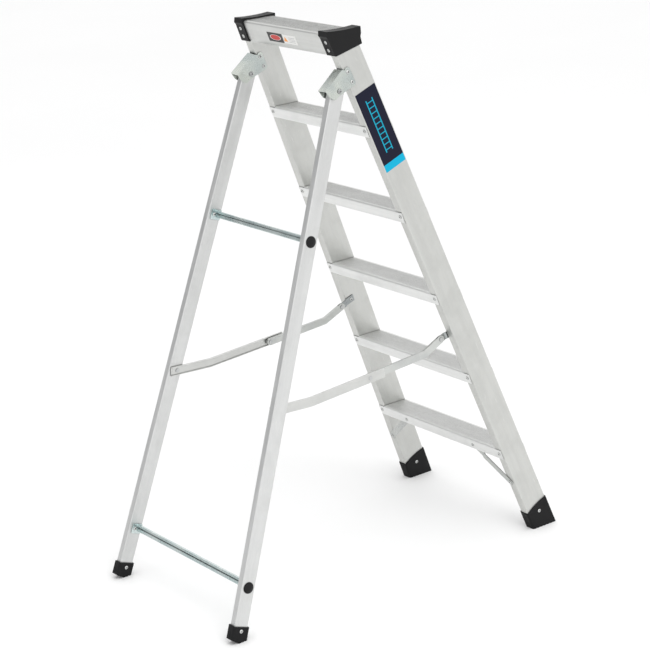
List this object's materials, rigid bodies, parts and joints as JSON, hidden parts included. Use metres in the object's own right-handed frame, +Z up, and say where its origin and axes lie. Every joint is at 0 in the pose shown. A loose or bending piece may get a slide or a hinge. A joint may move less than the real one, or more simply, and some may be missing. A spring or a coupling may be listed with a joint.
{
  "type": "swing-back step ladder",
  "caption": "Free-standing aluminium step ladder with channel treads, a top platform, and a hinged rear frame held open by folding stays.",
  "frame": {"origin": "on the floor, at the middle of the footprint's box with the ladder open", "axes": "+Z up, climbing side faces -Y, rear frame towards +Y, +X to the right of someone looking along +Y"},
  "size_m": [0.5818, 1.1098, 1.471],
  "materials": {
    "stile_aluminium": "mill finish, faint lengthwise die lines",
    "rear_stile_aluminium": "mill finish, faint lengthwise die lines",
    "tread_aluminium": "mill finish, ribbed standing surface",
    "platform_aluminium": "mill finish",
    "cap_plastic": "moulded, fine grain",
    "bracket_steel": "zinc plated, slightly blue",
    "lug_steel": "zinc plated, slightly blue",
    "crossbar_steel": "zinc plated, slightly blue",
    "strap_steel": "zinc plated, slightly blue",
    "boot_rubber": "moulded, matt",
    "plug_plastic": "moulded, satin",
    "front_stay_steel": "zinc plated, darker",
    "rear_stay_aluminium": "mill finish",
    "pin_steel": "zinc plated, turned",
    "rivet_aluminium": "satin",
    "washer_plastic": "moulded",
    "side_label": "printed film, no lettering",
    "platform_label": "printed film, no lettering"
  },
  "bodies": {
    "front_frame": {"brace_foot_rivets": "rivet_aluminium", "brace_top_rivets": "rivet_aluminium", "bracket_rivets": "rivet_aluminium", "cap_rivets": "rivet_aluminium", "front_boot_left": "boot_rubber", "front_boot_right": "boot_rubber", "front_boot_rivets": "rivet_aluminium", "front_stay_pins": "pin_steel", "front_stile_left": "stile_aluminium", "front_stile_right": "stile_aluminium", "hinge_bracket_left": "bracket_steel", "hinge_bracket_right": "bracket_steel", "hinge_pins": "pin_steel", "hinge_washers": "washer_plastic", "lug_rivets": "rivet_aluminium", "platform_cap_left": "cap_plastic", "platform_cap_right": "cap_plastic", "platform_label": "platform_label", "side_label": "side_label", "stay_lug_left": "lug_steel", "stay_lug_right": "lug_steel", "top_platform": "platform_aluminium", "tread_1": "tread_aluminium", "tread_2": "tread_aluminium", "tread_3": "tread_aluminium", "tread_4": "tread_aluminium", "tread_5": "tread_aluminium", "tread_brace_left": "strap_steel", "tread_brace_right": "strap_steel", "tread_rivets": "rivet_aluminium"},
    "rear_frame": {"rear_stile_left": "rear_stile_aluminium", "rear_stile_right": "rear_stile_aluminium", "rear_crossbar_lower": "crossbar_steel", "rear_crossbar_upper": "crossbar_steel", "crossbar_plugs": "plug_plastic", "crossbar_rivets": "rivet_aluminium", "rear_boot_left": "boot_rubber", "rear_boot_right": "boot_rubber", "rear_boot_rivets": "rivet_aluminium", "rear_end_plugs": "plug_plastic", "rear_stay_pins": "pin_steel"},
    "front_stay_left": {"front_stay_left": "front_stay_steel", "front_elbow_rivet_left": "pin_steel"},
    "rear_stay_left": {"rear_stay_left": "rear_stay_aluminium", "rear_elbow_rivet_left": "pin_steel"},
    "front_stay_right": {"front_stay_right": "front_stay_steel", "front_elbow_rivet_right": "pin_steel"},
    "rear_stay_right": {"rear_stay_right": "rear_stay_aluminium", "rear_elbow_rivet_right": "pin_steel"}
  },
  "joints": [
    {"name": "rear_frame_fold", "type": "hinge", "parent": "front_frame", "child": "rear_frame", "pos_m": [0, 0.04856, 1.3196], "axis": [-1, 0, 0], "range_deg": [0, 40.32]},
    {"name": "front_stay_turn_left", "type": "hinge", "parent": "front_frame", "child": "front_stay_left", "pos_m": [-0.21752, -0.22645, 0.60369], "axis": [0.9981, 0, -0.0609], "range_deg": [0, 78.69]},
    {"name": "rear_stay_turn_left", "type": "hinge", "parent": "rear_frame", "child": "rear_stay_left", "pos_m": [-0.22798, 0.32464, 0.55285], "axis": [-0.9979, 0, 0.0643], "range_deg": [0, 67.38]},
    {"name": "front_stay_turn_right", "type": "hinge", "parent": "front_frame", "child": "front_stay_right", "pos_m": [0.21752, -0.22645, 0.60369], "axis": [0.9981, 0, 0.0609], "range_deg": [0, 78.69]},
    {"name": "rear_stay_turn_right", "type": "hinge", "parent": "rear_frame", "child": "rear_stay_right", "pos_m": [0.22798, 0.32464, 0.55285], "axis": [-0.9979, 0, -0.0643], "range_deg": [0, 67.38]}
  ],
  "couplings": [
    {"joint": "front_stay_turn_left", "follows": "rear_frame_fold", "ratio": 1.9513},
    {"joint": "rear_stay_turn_left", "follows": "rear_frame_fold", "ratio": 1.6707},
    {"joint": "front_stay_turn_right", "follows": "rear_frame_fold", "ratio": 1.9513},
    {"joint": "rear_stay_turn_right", "follows": "rear_frame_fold", "ratio": 1.6707}
  ]
}
